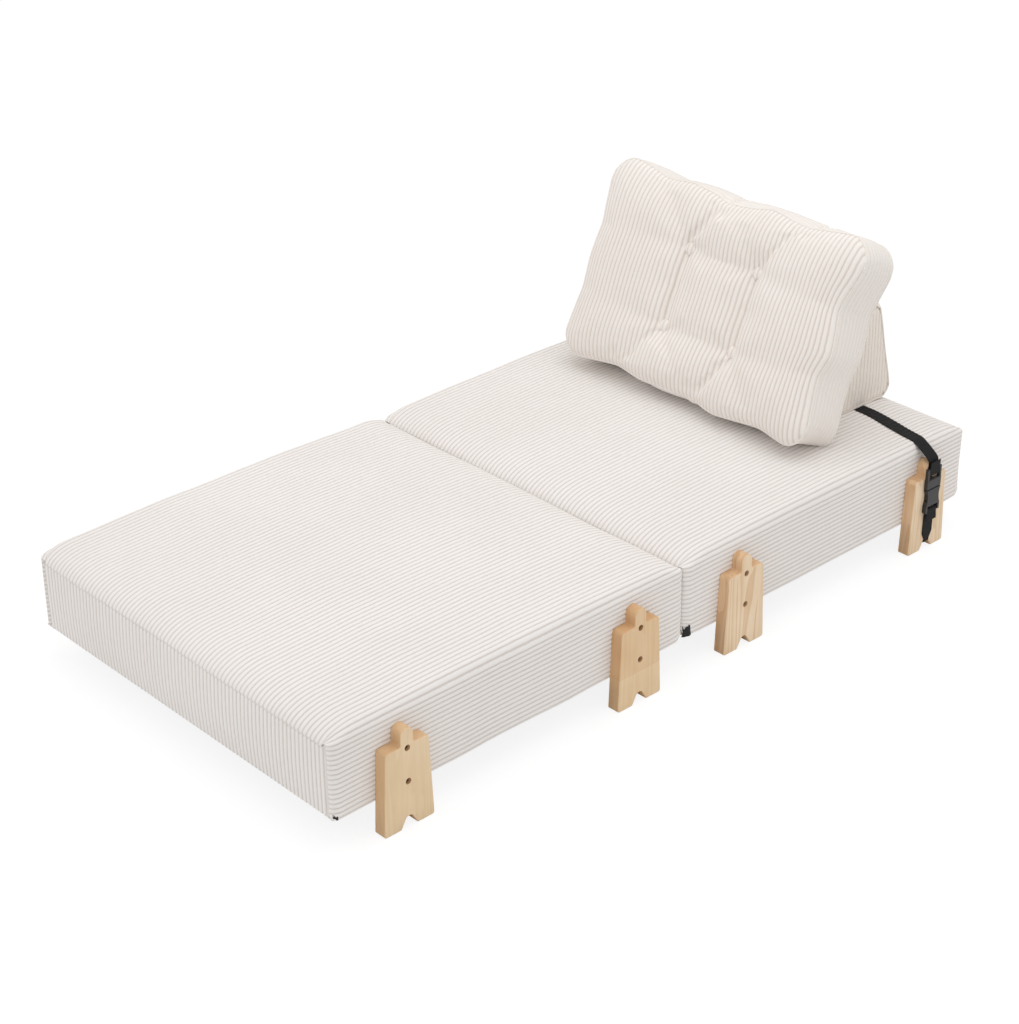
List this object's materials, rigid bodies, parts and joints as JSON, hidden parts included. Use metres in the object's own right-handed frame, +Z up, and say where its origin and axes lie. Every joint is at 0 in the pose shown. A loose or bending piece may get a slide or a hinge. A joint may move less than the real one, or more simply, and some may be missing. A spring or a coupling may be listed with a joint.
{
  "type": "folding chair bed",
  "caption": "Low folding chair bed of corduroy blocks on wooden foot plates, with a loose tufted cushion on a strapped wedge bolster.",
  "frame": {"origin": "floor level under the middle of the opened bed, below the crease between the blocks", "axes": "+X to the right seen from the foot end, +Y from the foot end to the backrest, +Z up"},
  "size_m": [1.0808, 1.92, 0.7657],
  "materials": {
    "black_cloth": "matte",
    "black_metal": "satin",
    "bolt_steel": "satin",
    "buckle_plastic": "satin",
    "cord_thread": "matte",
    "corduroy": "matte",
    "foam": "matte",
    "foot_wood": "satin",
    "frame_wood": "matte",
    "hinge_cloth": "matte",
    "insert_brass": "satin",
    "piping_cloth": "matte",
    "wadding": "matte",
    "webbing": "matte",
    "zip_tape": "matte"
  },
  "bodies": {
    "rear_block": {"rear_base_cloth": "black_cloth", "rear_centre_rail": "frame_wood", "rear_cover": "corduroy", "rear_end_rails": "frame_wood", "rear_foam_pad": "foam", "rear_foot_bolts": "bolt_steel", "rear_foot_head_left": "foot_wood", "rear_foot_head_right": "foot_wood", "rear_foot_inserts": "insert_brass", "rear_foot_toe_left": "foot_wood", "rear_foot_toe_right": "foot_wood", "rear_hinge_tape": "hinge_cloth", "rear_side_rails": "frame_wood", "rear_side_wadding": "wadding", "rear_slats": "frame_wood", "rear_zip": "zip_tape", "lower_strap_left": "webbing", "lower_strap_right": "webbing", "buckle_socket_left": "buckle_plastic", "buckle_socket_right": "buckle_plastic"},
    "front_block": {"front_base_cloth": "black_cloth", "front_centre_rail": "frame_wood", "front_cover": "corduroy", "front_end_rails": "frame_wood", "front_foam_pad": "foam", "front_foot_bolts": "bolt_steel", "front_foot_head_left": "foot_wood", "front_foot_head_right": "foot_wood", "front_foot_inserts": "insert_brass", "front_foot_toe_left": "foot_wood", "front_foot_toe_right": "foot_wood", "front_hinge_tape": "hinge_cloth", "front_side_rails": "frame_wood", "front_side_wadding": "wadding", "front_slats": "frame_wood", "front_zip": "zip_tape"},
    "wedge": {"wedge_cover": "corduroy", "wedge_foam": "foam", "wedge_zip": "zip_tape", "upper_strap": "webbing", "buckle_plug_left": "buckle_plastic", "buckle_plug_right": "buckle_plastic", "buckle_arms_left": "buckle_plastic", "buckle_arms_right": "buckle_plastic"},
    "cushion": {"cushion_back_panel": "corduroy", "cushion_back_piping": "piping_cloth", "cushion_buttons": "corduroy", "cushion_filling": "wadding", "cushion_front_panel": "corduroy", "cushion_front_piping": "piping_cloth", "cushion_gusset": "corduroy", "cushion_tuft_cords": "cord_thread"},
    "front_zip_slider_body": {"front_zip_slider": "black_metal"},
    "front_zip_pull_body": {"front_zip_pull": "black_metal"},
    "rear_zip_slider_body": {"rear_zip_slider": "black_metal"},
    "rear_zip_pull_body": {"rear_zip_pull": "black_metal"},
    "wedge_zip_slider_body": {"wedge_zip_slider": "black_metal"},
    "wedge_zip_pull_body": {"wedge_zip_pull": "black_metal"}
  },
  "joints": [
    {"name": "fold", "type": "hinge", "parent": "rear_block", "child": "front_block", "pos_m": [0, 0, 0.266], "axis": [-1, 0, 0], "range_deg": [0, 110]},
    {"name": "backrest_lift", "type": "slide", "parent": "rear_block", "child": "wedge", "axis": [0, 0, 1], "range_m": [0, 0.3], "deforming": ["buckle_arms_left", "buckle_arms_right"]},
    {"name": "cushion_lift", "type": "slide", "parent": "wedge", "child": "cushion", "axis": [0, 0, 1], "range_m": [0, 0.3]},
    {"name": "wedge_zip_slide", "type": "slide", "parent": "wedge", "child": "wedge_zip_slider_body", "axis": [-1, 0, 0], "range_m": [0, 0.36]},
    {"name": "wedge_pull_swing", "type": "hinge", "parent": "wedge_zip_slider_body", "child": "wedge_zip_pull_body", "pos_m": [0.181, 0.94407, 0.32938], "axis": [0, 0.2419, -0.9703], "range_deg": [0, 170]},
    {"name": "front_zip_slide", "type": "slide", "parent": "front_block", "child": "front_zip_slider_body", "axis": [-1, 0, 0], "range_m": [0, 0.88]},
    {"name": "front_pull_swing", "type": "hinge", "parent": "front_zip_slider_body", "child": "front_zip_pull_body", "pos_m": [0.44, -0.9422, 0.0643], "axis": [0, -1, 0], "range_deg": [0, 170]},
    {"name": "rear_zip_slide", "type": "slide", "parent": "rear_block", "child": "rear_zip_slider_body", "axis": [-1, 0, 0], "range_m": [0, 0.88]},
    {"name": "rear_pull_swing", "type": "hinge", "parent": "rear_zip_slider_body", "child": "rear_zip_pull_body", "pos_m": [0.44, 0.0198, 0.0643], "axis": [0, -1, 0], "range_deg": [0, 170]}
  ]
}
